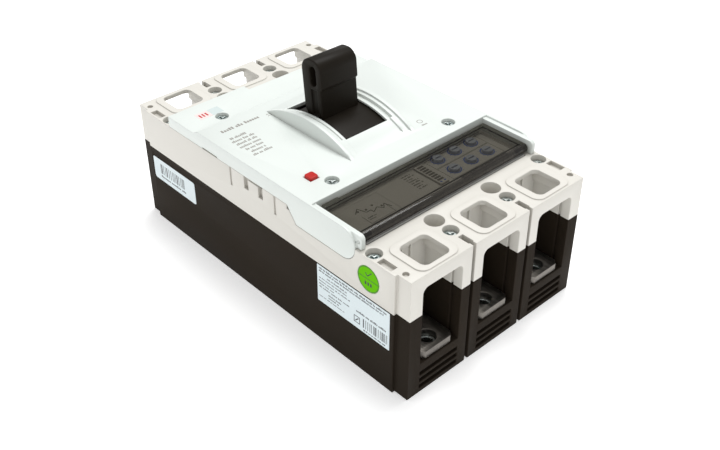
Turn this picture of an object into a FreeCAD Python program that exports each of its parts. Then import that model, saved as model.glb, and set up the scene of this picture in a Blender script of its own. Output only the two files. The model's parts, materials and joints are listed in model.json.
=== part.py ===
import FreeCAD, Part
import os
import re

import Sketcher

# Molded case circuit breaker, three poles, lying on its mounting face.
# X runs across the poles, +Y is the line end, -Y the load end with the trip unit, +Z is the front.
# The origin is the centre of the mounting face. All sizes are in millimetres.

DIMS = {
    # whole breaker
    "body_width": 150.0,        # across the side walls
    "body_length": 257.0,       # over the terminal blocks
    "base_height": 58.0,        # seam between the dark base and the light cover
    "cover_top": 85.0,          # top of the mid cover
    "plate_top": 95.0,          # top of the front cover plate
    "plate_drop": 2.5,          # how far the line-end part of the plate lies lower
    "side_step": 10.0,          # the terminal blocks stand out this far at each end
    "block_inset": 2.0,         # and are set in this far from the side walls
    "cover_wall": 2.5,
    "end_bevel": 1.5,
    # poles and terminals
    "pole_pitch": 48.0,
    "pole_gap": 2.5,            # gap between neighbouring terminal blocks
    "barrier_slot": 3.8,        # takes the foot of a phase barrier
    "pocket_width": 31.0,
    "pocket_depth": 29.0,
    "pocket_floor": 22.0,
    "pocket_roof": 76.0,
    "pocket_round": 4.0,
    "pocket_groove": 1.2,       # depth of the groove down each side wall of a pocket
    "groove_start": 8.0,        # and its two edges, from the end face
    "groove_end": 6.4,
    "lintel": 3.5,
    "hollow_roof": 82.8,        # underside of the thin deck round each tool opening
    "rib_half": 0.9,            # two ribs on the back wall of each pocket
    "rib_spread": 3.4,
    "rib_height": 1.4,
    "tool_width": 21.0,         # opening over each terminal screw
    "tool_length": 21.0,
    "tool_y": 113.5,
    "panel_rise": 0.8,          # raised panel round each tool opening
    "panel_y": 113.0,
    "panel_half": 14.0,
    "panel_round": 6.0,
    "vent_height": 2.8,
    "vent_pitch": 5.0,
    "vent_low": 3.0,
    "vent_depth": 6.0,
    "barrier_end": 125.5,
    "corner_slot_x": 71.2,      # slot and dimple at each corner of the cover
    "corner_slot_half": 2.4,
    "corner_slot_near": 103.5,
    "corner_slot_far": 114.0,
    "corner_slot_depth": 2.6,
    "dimple_x": 69.5,
    "dimple_y": 121.0,
    "dimple_radius": 1.9,
    "dimple_depth": 1.8,
    # fixing holes, cover screws and small recesses
    "fixing_y": 98.0,
    "fixing_bore": 6.5,
    "fixing_floor": 8.0,
    "well_bore": 12.0,
    "gap_screw_y": 110.5,
    "corner_screw_x": 69.5,
    "corner_screw_y": 97.0,
    "screw_head": 9.0,
    "screw_recess": 9.6,
    "screw_shank": 4.0,
    "screw_seat": 6.2,          # depth of the seat below the cover top
    "screw_length": 42.0,
    "screw_bore_depth": 22.0,
    "front_screw_length": 16.0,
    "head_height": 2.6,
    "cross_floor": 0.9,         # height of the cross recess above the seat
    "cross_width": 1.3,
    "cross_length": 5.6,
    # pole chambers inside
    "chamber_width": 43.0,
    "chamber_half": 84.0,
    "chamber_floor": 4.0,
    "deck_under": 72.0,
    "deck_top": 76.0,
    "sheet_half_x": 61.0,       # insulating sheet under the chambers
    "sheet_half_y": 76.0,
    "sheet_thick": 1.6,
    "sheet_hole_y": 70.0,
    "fit": 0.1,                 # running gap between parts that touch
    "fine_fit": 0.05,
    # front cover
    "plate_far": 90.0,
    "plate_near": -50.5,
    "ramp_start": 58.0,
    "cheek_near": -87.5,
    "cheek_low": 74.6,
    "cheek_far": -38.0,
    "cheek_slope": 8.0,
    "cheek_round": 10.0,
    "cheek_thick": 5.0,
    "ear_thick": 3.2,           # lower inner part of a cheek, beside the window
    "ear_reach": 3.5,
    "ear_drop": 1.2,
    "ear_round": 3.0,
    "ear_dot": 0.9,
    "front_screw_x": 49.0,
    "front_screw_near": -40.0,
    "front_screw_far": 67.0,
    "front_recess": 8.8,
    "front_recess_depth": 4.6,
    "boss_radius": 5.0,
    "front_boss": 6.0,
    "notch_x": -14.0,           # the line-end edge is further in from here on
    "notch_depth": 6.0,
    "recess_half": 70.0,        # well in the mid cover for the front cover
    "deck_near": -49.5,         # opening in the deck over the mechanism
    "deck_far": 68.0,
    "slit_width": 1.7,          # side details of the covers
    "slit_low": 71.8,
    "slit_far": 24.2,
    "slit_near": -18.6,
    "clip_near": -7.2,          # latch between two grooves
    "clip_far": 10.9,
    "clip_low": 76.3,
    "clip_groove": 4.2,
    "clip_depth": 2.2,
    "clip_hole_low": 81.6,
    "clip_hole_depth": 4.0,
    "pry_near": 37.7,
    "pry_far": 53.1,
    "pry_depth": 2.0,
    # arched bezel round the handle
    "arch_half": 27.0,
    "arch_y": 8.0,
    "arch_z": 25.0,
    "arch_radius": 81.0,
    "arch_step": 1.4,
    "arch_lip": 2.6,
    "arch_rail": 3.0,
    "lip_width": 2.2,
    "hollow_near": -26.0,
    "hollow_far": 42.0,
    "window_half": 17.25,
    "window_near": -17.5,
    "window_far": 39.5,
    # handle, turning about an axis along X
    "pivot_y": 8.0,
    "pivot_z": 34.0,
    "handle_lean": 5.3,         # towards the line end, in the tripped position
    "handle_width": 30.0,
    "handle_reach": 105.4,
    "head_low": 86.0,
    "head_half": 9.0,
    "stem_near": 7.4,
    "neck_low": 54.0,
    "shutter_radius": 67.5,
    "shutter_thick": 1.8,
    "shutter_half": 18.6,
    "shutter_near": -41.0,      # ends of the shutters, in degrees from the handle
    "shutter_far": 17.5,
    "rear_start": 8.5,
    "rear_end": 44.0,
    "rear_thick": 1.4,
    "grip_slot_near": -3.9,     # slot in each end of the head, and the groove below it
    "grip_slot_far": 1.5,
    "grip_slot_low": 88.0,
    "grip_slot_high": 101.0,
    "grip_slot_depth": 8.0,
    "grip_groove_high": 85.5,
    "grip_groove_depth": 1.2,
    "leg_half": 5.0,
    "spring_half": 3.3,
    "spring_height": 16.6,
    # trip unit
    "unit_half": 66.8,
    "unit_near": -88.4,
    "unit_far": -51.6,
    "unit_low": 62.0,
    "face_low": 83.2,
    "face_top": 85.2,
    "dial_x": 37.8,
    "dial_pitch_x": 15.0,
    "dial_y": -63.2,
    "dial_pitch_y": 13.8,
    "dial_radius": 3.4,
    "dial_top": 87.2,
    "dial_shaft": 1.5,
    "board_low": 72.0,
    "board_thick": 1.6,
    "block_x": 7.5,             # indicator block in the face
    "block_y": -65.5,
    "block_half_x": 3.5,
    "block_half_y": 11.5,
    "block_rise": 1.2,
    "curve_x": -41.5,           # shallow recess for the printed curve
    "curve_y": -68.0,
    "curve_half": 12.5,
    "curve_half_y": 12.0,
    "curve_depth": 0.4,
    "window_pin_y": -85.5,
    "window_pin_z": 88.3,
    "window_barrel": 3.0,
    "window_sheet": 2.4,
    "window_pin": 1.3,
    "cover_half": 69.3,
    # trip button
    "button_x": -55.8,
    "button_y": -29.6,
    "button_side": 6.3,
    "button_top": 96.6,
    "flange_half": 4.5,
    "button_stem": 1.5,
    "stem_low": 70.8,
    "coil_radius": 2.6,
    "coil_height": 11.5,
    # conductors and contacts
    "pad_width": 26.0,
    "bar_width": 20.0,
    "bar_thick": 5.0,
    "stud_y": 118.5,
    "stud_bore": 11.0,
    "nut_flats": 17.0,
    "nut_height": 6.0,
    "line_low": 8.0,
    "line_inner": 36.0,         # inner ends of the conductors
    "load_inner": 26.0,
    "transformer_half": 18.0,
    "transformer_near": -79.0,
    "transformer_far": -59.0,
    "transformer_top": 44.0,
    "chute_far": 71.5,          # arc chutes
    "chute_low": 16.0,
    "chute_high": 64.0,
    "chute_plate": 1.6,
    "chute_pitch": 5.0,
    "chute_side_x": 17.0,
    "notch_half": 6.0,
    "notch_far": 59.0,
    "contact_y": 48.0,
    "contact_radius": 4.0,
    "contact_thick": 2.4,
    # crossbar with the moving contact arms
    "cross_y": -4.0,
    "cross_z": 20.0,
    "cross_radius": 11.0,
    "open_angle": 11.5,
    "arm_width": 10.0,
    "arm_reach": 56.5,
    "arm_low": 0.6,
    "arm_high": 7.0,
    "link_pin_y": 11.0,         # link pin, measured from the crossbar axis
    "link_pin_z": 12.5,
    "link_length": 27.0,
    # mechanism plates
    "frame_inner": 15.0,
    "plate_thick": 2.0,
    "leg_inner": 12.0,
    "cradle_inner": 9.2,
    "cradle_y": 34.0,
    "cradle_z": 62.0,
    "trip_bar_y": -12.0,
    "trip_bar_z": 64.0,
    "trip_bar_radius": 2.5,
    "trip_bar_half": 65.5,
    "lever_top": 70.5,
    "lever_thick": 2.6,
    "lever_half": 2.2,
    "flux_z": 56.0,             # actuator that trips the breaker
    "flux_near": -50.0,
    "flux_far": -27.0,
    "flux_half": 12.0,
    "flux_low": 48.0,
    "plunger_radius": 2.25,
    "plunger_start": -40.0,
    "plunger_length": 23.0,
    "braid_width": 12.0,
}

SIDES = (-1, 1)
POLES = (-1, 0, 1)

doc = FreeCAD.newDocument("molded_case_breaker")
sheet = doc.addObject("Spreadsheet::Sheet", "dims")
for row, (alias, size) in enumerate(DIMS.items(), start=1):
    sheet.set("A%d" % row, alias)
    sheet.set("B%d" % row, str(size))
    sheet.setAlias("B%d" % row, alias)
doc.recompute()

nodes = []
WORD = re.compile(r"[a-z_]+")


# ---------------------------------------------------------------- helpers

def bound(text):
    """Point each dimension word of a formula at its cell in the sheet."""
    return WORD.sub(lambda hit: "dims." + hit.group() if hit.group() in DIMS else hit.group(), text)


def number(text):
    """Value of a formula, for a starting size."""
    return float(sheet.evalExpression(bound(text)))


def place(obj, x="0", y="0", z="0"):
    for axis, text in zip("xyz", (x, y, z)):
        obj.setExpression("Placement.Base." + axis, bound(text))


def turn(obj, axis, angle):
    """Turn an object about its own origin by a formula in degrees."""
    obj.Placement = FreeCAD.Placement(obj.Placement.Base, FreeCAD.Rotation(FreeCAD.Vector(*axis), 1.0))
    obj.setExpression("Placement.Rotation.Angle", bound(angle))


def block(xs, ys, zs):
    """A block given by its low and high formula along each axis."""
    made = doc.addObject("Part::Box", "block")
    for size, (low, high) in zip(("Length", "Width", "Height"), (xs, ys, zs)):
        made.setExpression(size, bound("(%s) - (%s)" % (high, low)))
    place(made, xs[0], ys[0], zs[0])
    return made


def rod(axis, start, radius, length):
    """A cylinder along axis x, y or z from a start point."""
    made = doc.addObject("Part::Cylinder", "rod")
    made.setExpression("Radius", bound(radius))
    made.setExpression("Height", bound(length))
    if axis == "x":
        turn(made, (0, 1, 0), "90")
    if axis == "y":
        turn(made, (1, 0, 0), "-90")
    place(made, *start)
    return made


def bar_x(half, y, z, radius):
    """A cylinder along X, centred on the middle plane."""
    return rod("x", ("-(%s)" % half, y, z), radius, "2 * (%s)" % half)


def fuse(parts):
    if len(parts) == 1:
        return parts[0]
    made = doc.addObject("Part::MultiFuse", "fuse")
    made.Shapes = parts
    return made


def cut(base, tools):
    made = doc.addObject("Part::Cut", "cut")
    made.Base = base
    made.Tool = fuse(tools)
    return made


def common(first, second):
    made = doc.addObject("Part::MultiCommon", "common")
    made.Shapes = [first, second]
    return made


def group(parts):
    made = doc.addObject("Part::Compound", "group")
    made.Links = parts
    return made


def node(name, obj):
    """Name an object as one sub-part of the breaker."""
    obj.Label = name
    nodes.append(obj)
    return obj


def new_body(name):
    return doc.addObject("PartDesign::Body", name + "_body")


def plane(body, role):
    return next(item for item in body.Origin.OriginFeatures if item.Role == role)


def outline(body, role, points, offset="0"):
    """A closed outline of straight lines; every corner is held by two formulas."""
    sketch = body.newObject("Sketcher::SketchObject", "outline")
    sketch.AttachmentSupport = (plane(body, role), [""])
    sketch.MapMode = "FlatFace"
    sketch.setExpression("AttachmentOffset.Base.z", bound(offset))
    corners = [FreeCAD.Vector(number(u), number(v), 0) for u, v in points]
    count = len(corners)
    for index in range(count):
        sketch.addGeometry(Part.LineSegment(corners[index], corners[(index + 1) % count]), False)
    for index in range(count):
        sketch.addConstraint(Sketcher.Constraint("Coincident", index, 2, (index + 1) % count, 1))
    for index, pair in enumerate(points):
        for kind, text in zip(("DistanceX", "DistanceY"), pair):
            held = sketch.addConstraint(Sketcher.Constraint(kind, -1, 1, index, 1, number(text)))
            sketch.setExpression("Constraints[%d]" % held, bound(text))
    return sketch


def rectangle(half_u, half_v):
    """Corners of a rectangle about the middle."""
    return [("-" + half_u, "-" + half_v), (half_u, "-" + half_v), (half_u, half_v), ("-" + half_u, half_v)]


def round_hole(body, role, u, v, radius, offset="0"):
    """A circle held by its centre and radius."""
    sketch = body.newObject("Sketcher::SketchObject", "circle")
    sketch.AttachmentSupport = (plane(body, role), [""])
    sketch.MapMode = "FlatFace"
    sketch.setExpression("AttachmentOffset.Base.z", bound(offset))
    centre = FreeCAD.Vector(number(u), number(v), 0)
    sketch.addGeometry(Part.Circle(centre, FreeCAD.Vector(0, 0, 1), number(radius)), False)
    for kind, text in (("DistanceX", u), ("DistanceY", v)):
        held = sketch.addConstraint(Sketcher.Constraint(kind, -1, 1, 0, 3, number(text)))
        sketch.setExpression("Constraints[%d]" % held, bound(text))
    held = sketch.addConstraint(Sketcher.Constraint("Radius", 0, number(radius)))
    sketch.setExpression("Constraints[%d]" % held, bound(radius))
    return sketch


def pad(body, sketch, length, middle=False):
    made = body.newObject("PartDesign::Pad", "pad")
    made.Profile = sketch
    made.setExpression("Length", bound(length))
    made.Midplane = middle
    body.Tip = made
    return made


def pocket(body, sketch, length, middle=False, reverse=False):
    """Cut a sketch out of the body, and make sure that it does cut."""
    doc.recompute()
    before = body.Shape.Volume
    made = body.newObject("PartDesign::Pocket", "pocket")
    made.Profile = sketch
    made.setExpression("Length", bound(length))
    made.Midplane = middle
    made.Reversed = reverse
    body.Tip = made
    doc.recompute()
    if not body.Shape.Volume < before:
        raise ValueError("a pocket in %s cuts nothing" % body.Name)
    return made


def round_edges(body, radius, wanted):
    """Round the edges whose middle point passes a test."""
    doc.recompute()
    last = body.Tip
    names = []
    for index, edge in enumerate(last.Shape.Edges, start=1):
        middle = edge.valueAt((edge.FirstParameter + edge.LastParameter) / 2)
        if wanted(edge, middle):
            names.append("Edge%d" % index)
    if not names:
        raise ValueError("no edge to round in %s" % body.Name)
    made = body.newObject("PartDesign::Fillet", "fillet")
    made.Base = (last, names)
    made.setExpression("Radius", bound(radius))
    body.Tip = made
    return made


def upright(edge, middle):
    return abs(edge.tangentAt(edge.FirstParameter).z) > 0.9


def along_x(edge):
    return edge.Length > 1 and abs(edge.tangentAt(edge.FirstParameter).x) > 0.999


def pole_x(pole):
    return "%d * pole_pitch" % pole


def about(centre, half):
    """Low and high formula of a span, from its centre and half its size."""
    return "(%s) - (%s)" % (centre, half), "(%s) + (%s)" % (centre, half)


def at_y(side, text):
    return "%d * (%s)" % (side, text)


def y_span(side, near, far):
    """Low and high Y of a stretch that lies between two distances from the middle."""
    low, high = (near, far) if side > 0 else (far, near)
    return at_y(side, low), at_y(side, high)


# ---------------------------------------------------------------- moulded base and covers

MAIN_HALF = "body_length / 2 - side_step"
HALF_X = "body_width / 2"
HALF_Y = "body_length / 2"


def pole_block_x(pole):
    """Low and high X of one pole's terminal block."""
    half_gap = "pole_gap / 2"
    outer = "(body_width / 2 - block_inset)"
    low = "-" + outer if pole == -1 else "%d * pole_pitch / 2 + %s" % (2 * pole - 1, half_gap)
    high = outer if pole == 1 else "%d * pole_pitch / 2 - %s" % (2 * pole + 1, half_gap)
    return low, high


def shell_blocks(low, high):
    """The main block with the three terminal blocks at each end."""
    parts = [block(("-" + HALF_X, HALF_X), ("-(%s)" % MAIN_HALF, MAIN_HALF), (low, high))]
    for side in SIDES:
        for pole in POLES:
            parts.append(block(pole_block_x(pole), y_span(side, MAIN_HALF + " - 2", HALF_Y), (low, high)))
    return parts


def pocket_tools():
    """Open terminal pockets with rounded top corners."""
    tools = []
    for side in SIDES:
        start_y = at_y(side, HALF_Y + " - pocket_depth") if side > 0 else at_y(side, HALF_Y + " + 1")
        length = "pocket_depth + 1"
        for pole in POLES:
            low_x = pole_x(pole) + " - pocket_width / 2"
            high_x = pole_x(pole) + " + pocket_width / 2"
            ys = y_span(side, HALF_Y + " - pocket_depth", HALF_Y + " + 1")
            tools.append(block((low_x, high_x), ys, ("pocket_floor", "pocket_roof - pocket_round")))
            tools.append(block((low_x + " + pocket_round", high_x + " - pocket_round"), ys,
                               ("pocket_floor", "pocket_roof")))
            for x in (low_x + " + pocket_round", high_x + " - pocket_round"):
                tools.append(rod("y", (x, start_y, "pocket_roof - pocket_round"), "pocket_round", length))
            # groove for a sliding terminal shield
            tools.append(block(about(pole_x(pole), "pocket_width / 2 + pocket_groove"),
                               y_span(side, HALF_Y + " - groove_start", HALF_Y + " - groove_end"),
                               ("pocket_floor", "pocket_roof - pocket_round")))
    return tools


def roof_tools():
    """Hollows under the deck, behind the lintel at the load end and open at the line end."""
    tools = []
    for side, end in ((-1, " - lintel"), (1, " + 1")):
        for pole in POLES:
            tools.append(block(about(pole_x(pole), "pocket_width / 2 - 2"),
                               y_span(side, HALF_Y + " - pocket_depth", HALF_Y + end),
                               ("pocket_roof - 1", "hollow_roof")))
    return tools


def pocket_ribs():
    back = HALF_Y + " - pocket_depth"
    return [block(about("%s + %d * rib_spread" % (pole_x(pole), across), "rib_half"),
                  y_span(side, back + " - 0.5", back + " + rib_height"),
                  ("base_height", "hollow_roof + 0.5"))
            for side in SIDES for pole in POLES for across in SIDES]


def fixing_tools():
    """Fixing holes between the poles, wide above the fixing floor."""
    tools = []
    for side in SIDES:
        for across in SIDES:
            spot = ("%d * pole_pitch / 2" % across, at_y(side, "fixing_y"))
            tools.append(rod("z", spot + ("-1",), "fixing_bore / 2", "cover_top + 2"))
            tools.append(rod("z", spot + ("fixing_floor",), "well_bore / 2", "cover_top"))
    return tools


def chamber_tools(low, high):
    return [block(about(pole_x(pole), "chamber_width / 2"), ("-chamber_half", "chamber_half"), (low, high))
            for pole in POLES]


def conductor_tools():
    """Passages for the conductors, and seats for the captive nuts, at both ends."""
    tools = []
    for side in SIDES:
        for pole in POLES:
            tools.append(block(about(pole_x(pole), "bar_width / 2 + fit"),
                               y_span(side, "chamber_half - 1", HALF_Y + " - pocket_depth + 1"),
                               ("pocket_floor", "pocket_floor + bar_thick + fit")))
            tools.append(block(about(pole_x(pole), "nut_flats / 2 + fine_fit"),
                               about(at_y(side, "stud_y"), "nut_flats / 2 + fine_fit"),
                               ("pocket_floor - nut_height", "pocket_floor + fit")))
    return tools


def vent_tools():
    tools = []
    for side in SIDES:
        for pole in POLES:
            for step in range(3):
                low = "vent_low + %d * vent_pitch" % step
                tools.append(block(about(pole_x(pole), "pocket_width / 2"),
                                   y_span(side, HALF_Y + " - vent_depth", HALF_Y + " + 1"),
                                   (low, low + " + vent_height")))
    return tools


def cover_screw_spots():
    """The eight screws that hold the mid cover: between the poles and at the corners."""
    spots = []
    for side in SIDES:
        for across in SIDES:
            spots.append(("%d * pole_pitch / 2" % across, at_y(side, "gap_screw_y")))
            spots.append(("%d * corner_screw_x" % across, at_y(side, "corner_screw_y")))
    return spots


SHANK_BORE = "screw_shank / 2 + fine_fit"
LABEL_DEPTH = 0.3
RATING_YZ = (("-115.5", "-55.2"), ("30", "57.2"))
CODE_YZ = (("67.6", "116.6"), ("34", "51.5"))
STICKER = ("-98.3", "70.8", "8.5")


def side_pocket(yz, depth):
    return block(("-body_width / 2 - 1", "-body_width / 2 + %s" % depth), yz[0], yz[1])


def make_base():
    solid = fuse(shell_blocks("0", "base_height"))
    tools = chamber_tools("chamber_floor", "base_height + 1")
    tools += pocket_tools() + fixing_tools() + conductor_tools() + vent_tools()
    # the crossbar turns in half-round seats in the walls between the poles
    tools.append(bar_x("chamber_width * 1.5 + 5", "cross_y", "cross_z", "cross_radius + fit"))
    tools.append(block(("-pole_pitch", "pole_pitch"), about("cross_y", "cross_radius + fit"),
                       ("cross_z", "base_height + 1")))
    for x, y in cover_screw_spots():
        tools.append(rod("z", (x, y, "base_height - screw_bore_depth"), SHANK_BORE, "screw_bore_depth + 1"))
    tools.append(side_pocket(RATING_YZ, LABEL_DEPTH))
    tools.append(side_pocket(CODE_YZ, LABEL_DEPTH))
    tools.append(block(about("0", "sheet_half_x"), about("0", "sheet_half_y"), ("-1", "sheet_thick")))
    return node("base", cut(solid, tools))


def make_back_plate():
    """Insulating sheet let into the mounting face under the chambers."""
    sheet_block = block(about("0", "sheet_half_x - 2 * fit"), about("0", "sheet_half_y - 2 * fit"),
                        ("0", "sheet_thick"))
    holes = [rod("z", (pole_x(pole), at_y(side, "sheet_hole_y"), "-1"), "1.5", "sheet_thick + 2")
             for pole in POLES for side in SIDES]
    return node("back_plate", cut(sheet_block, holes))


def make_mid_cover():
    parts = shell_blocks("base_height", "cover_top")
    parts += [raised_panel(side, pole) for side in SIDES for pole in POLES]
    solid = fuse(parts)
    tools = chamber_tools("base_height - 1", "deck_under")
    tools += pocket_tools() + roof_tools() + fixing_tools()
    # room for the front cover, the handle and the trip unit
    tools.append(block(about("0", "recess_half"), ("plate_near + 2", "plate_far - 4"),
                       ("deck_top", "cover_top + 1")))
    tools.append(block(about("0", "chamber_width / 2"), ("deck_near", "deck_far"),
                       ("deck_under - 1", "cover_top + 1")))
    tools.append(block(("-unit_half - 0.4", "unit_half + 0.4"), ("unit_near - 0.6", "plate_near + 0.5"),
                       ("unit_low - 0.4", "cover_top + 1")))
    for across in SIDES:
        low, high = about("%d * body_width / 2" % across, "cheek_thick + fit")
        round_y, round_z = "cheek_near + cheek_round", "cheek_low + cheek_round"
        tools.append(block((low, high), (round_y, "cheek_far + 0.3"), ("cheek_low - 0.2", "cover_top + 1")))
        tools.append(block((low, high), ("cheek_near - 0.2", round_y), (round_z, "cover_top + 1")))
        tools.append(rod("x", (low, round_y, round_z), "cheek_round + 0.2", "2 * (cheek_thick + fit)"))
        tools.append(block((low, high), ("cheek_far", "cheek_far + cheek_slope + 0.3"),
                           ("cover_top - 3", "cover_top + 1")))
        tools.append(wedge_tool(low, high))
    for side in SIDES:
        for pole in POLES:
            tools.append(tool_opening(side, pole))
        tools.append(end_bevel_tool(side))
        for across in SIDES:
            tools.append(block(about("%d * pole_pitch / 2" % across, "barrier_slot / 2"),
                               y_span(side, MAIN_HALF + " - 1", "barrier_end"),
                               ("base_height - 1", "cover_top + 1")))
            tools.append(block(about("%d * corner_slot_x" % across, "corner_slot_half"),
                               y_span(side, "corner_slot_near", "corner_slot_far"),
                               ("cover_top - corner_slot_depth", "cover_top + 1")))
            spot = ("%d * dimple_x" % across, at_y(side, "dimple_y"), "cover_top - dimple_depth")
            tools.append(rod("z", spot, "dimple_radius", "dimple_depth + 1"))
    for x, y in cover_screw_spots():
        tools.append(rod("z", (x, y, "cover_top - screw_seat"), "screw_recess / 2", "screw_seat + 2"))
        tools.append(rod("z", (x, y, "base_height - 1"), SHANK_BORE, "cover_top"))
    # side details: latch between two grooves and the two flex slits beside it, on both sides
    for across in SIDES:
        for y in ("slit_far", "slit_near"):
            tools.append(side_groove(across, about(y, "slit_width / 2"), ("slit_low", "cover_top + 1"), "1"))
        near_groove = ("clip_near", "clip_near + clip_groove")
        for ys in (near_groove, ("clip_far - clip_groove", "clip_far")):
            tools.append(side_groove(across, ys, ("clip_low", "cover_top + 1"), "clip_depth"))
        tools.append(side_groove(across, ("clip_near", "clip_far"),
                                 ("cover_top - 1.2", "cover_top + 1"), "1"))
        tools.append(side_groove(across, near_groove, ("clip_hole_low", "cover_top - 1"), "clip_hole_depth"))
    sticker_y, sticker_z, sticker_radius = STICKER
    tools.append(rod("x", ("-body_width / 2 - 1", sticker_y, sticker_z), sticker_radius,
                     "1 + %s" % LABEL_DEPTH))
    # passage for the trip bar through the walls between the poles
    tools.append(block(about("0", "trip_bar_half + 0.5"), about("trip_bar_y", "trip_bar_radius + 0.3"),
                       ("base_height - 1", "trip_bar_z + trip_bar_radius + 0.3")))
    tools.append(rod("z", ("button_x", "button_y", "deck_under - 1"), "button_stem + fit", "20"))
    hollow = cut(solid, tools)
    bosses = [rod("z", (x, y, "deck_top - 1"), "boss_radius", "cover_top - deck_top + 1")
              for x, y in front_screw_spots()]
    shanks = [rod("z", (x, y, "deck_under - 1"), SHANK_BORE, "20") for x, y in front_screw_spots()]
    return node("mid_cover", cut(fuse([hollow] + bosses + pocket_ribs()), shanks))


def side_groove(across, ys, zs, depth):
    low, high = ("-body_width / 2 - 1", "-body_width / 2 + " + depth)
    if across > 0:
        low, high = ("body_width / 2 - " + depth, "body_width / 2 + 1")
    return block((low, high), ys, zs)


def wedge_tool(low, high):
    """Sloping end of the cheek recess."""
    body = new_body("cheek_wedge")
    slope_end = "cheek_far + cheek_slope + 0.3"
    corners = [("cheek_far - 1", "cheek_low - 0.2"), ("cheek_far + 0.3", "cheek_low - 0.2"),
               (slope_end, "cover_top - 0.2"), (slope_end, "cover_top + 1"),
               ("cheek_far - 1", "cover_top + 1")]
    pad(body, outline(body, "YZ_Plane", corners), "(%s) - (%s)" % (high, low))
    place(body, low)
    return body


def tool_opening(side, pole):
    """Rounded opening over one terminal screw."""
    body = new_body("tool_opening")
    pad(body, outline(body, "XY_Plane", rectangle("tool_width / 2", "tool_length / 2")), "20")
    round_edges(body, "pocket_round", upright)
    place(body, pole_x(pole), at_y(side, "tool_y"), "pocket_roof - 4")
    return body


def raised_panel(side, pole):
    """Low panel with rounded corners round one tool opening."""
    body = new_body("panel")
    pad(body, outline(body, "XY_Plane", rectangle("pocket_width / 2", "panel_half")), "panel_rise + 1")
    round_edges(body, "panel_round", upright)
    place(body, pole_x(pole), at_y(side, "panel_y"), "cover_top - 1")
    return body


def end_bevel_tool(side):
    """Three-cornered bar that bevels the top edge at one end of the cover."""
    body = new_body("end_bevel")
    reach = "end_bevel + 1"
    beyond = at_y(side, HALF_Y + " + 1")
    corners = [(beyond, "cover_top - " + reach), (beyond, "cover_top + 1"),
               (at_y(side, HALF_Y + " - " + reach), "cover_top + 1")]
    pad(body, outline(body, "YZ_Plane", corners), "body_width + 2", middle=True)
    return body


def front_screw_spots():
    return [("%d * front_screw_x" % across, y)
            for across in SIDES for y in ("front_screw_near", "front_screw_far")]


def bezel_step(half, depth):
    """Takes the top of the bezel down by a depth, over a half width; the plate stays whole."""
    ring = cut(bar_x(half, "arch_y", "arch_z", "arch_radius + 2"),
               [bar_x("arch_half", "arch_y", "arch_z", "arch_radius - " + depth)])
    return common(ring, around_arch("plate_top"))


def around_arch(low):
    """The space over the front cover in which the bezel lies, from a height up."""
    return block(("-40", "40"), ("-60", "70"), (low, "plate_top + 20"))


def window_ear(across):
    """Inner part of a cheek, which reaches past its rounded end; a dot marks the window pin."""
    inner, outer = "body_width / 2 - cheek_thick", "body_width / 2 - cheek_thick + ear_thick"
    low, high = (inner, outer) if across > 0 else ("-(%s)" % outer, "-(%s)" % inner)
    near = "cheek_near - ear_reach"
    body = new_body("window_ear")
    corners = [(near, "cover_top"), ("plate_near + 0.5", "cover_top"),
               ("plate_near + 0.5", "plate_top - ear_drop"), (near, "plate_top - ear_drop")]
    pad(body, outline(body, "YZ_Plane", corners), "ear_thick")
    near_end = number(near)
    top = number("plate_top - ear_drop")
    round_edges(body, "ear_round", lambda edge, middle: along_x(edge)
                and abs(middle.y - near_end) < 0.1 and abs(middle.z - top) < 0.1)
    place(body, low)
    face = outer + " - 0.3" if across > 0 else "-(%s) - 1" % outer
    dot = rod("x", (face, "cheek_near - 1.2", "cover_top + 4.6"), "ear_dot", "1.3")
    return cut(body, [dot])


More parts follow.
